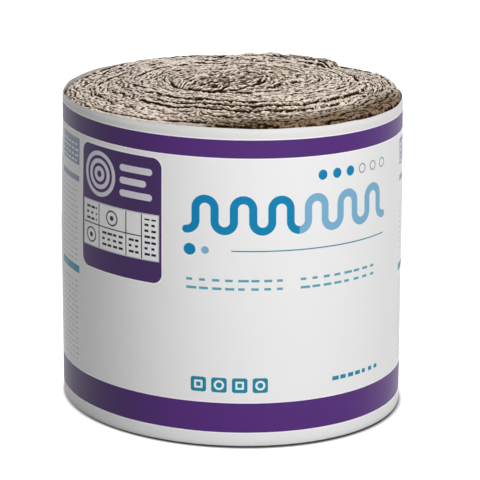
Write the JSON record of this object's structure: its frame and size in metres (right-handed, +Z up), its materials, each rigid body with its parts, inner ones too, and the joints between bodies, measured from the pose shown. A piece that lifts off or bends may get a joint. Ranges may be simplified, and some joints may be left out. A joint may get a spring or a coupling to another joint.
{
  "type": "insulation roll",
  "caption": "Roll of unfaced brown glass-wool insulation in a white plastic film sleeve with purple bands, standing on its end.",
  "frame": {"origin": "the middle of the roll's lower end, at the floor that it stands on", "axes": "+Z up along the roll's axis, -Y towards the front of the printed film, +Y towards its glued lap"},
  "size_m": [0.413, 0.4135, 0.393],
  "materials": {
    "glass_wool": "matt brown glass wool in fine fibrous layers",
    "printed_film": "soft-gloss white polyethylene film, printed in purple, blue and teal"
  },
  "bodies": {
    "root": {"wool_roll": "glass_wool", "film_sleeve": "printed_film"}
  },
  "joints": []
}
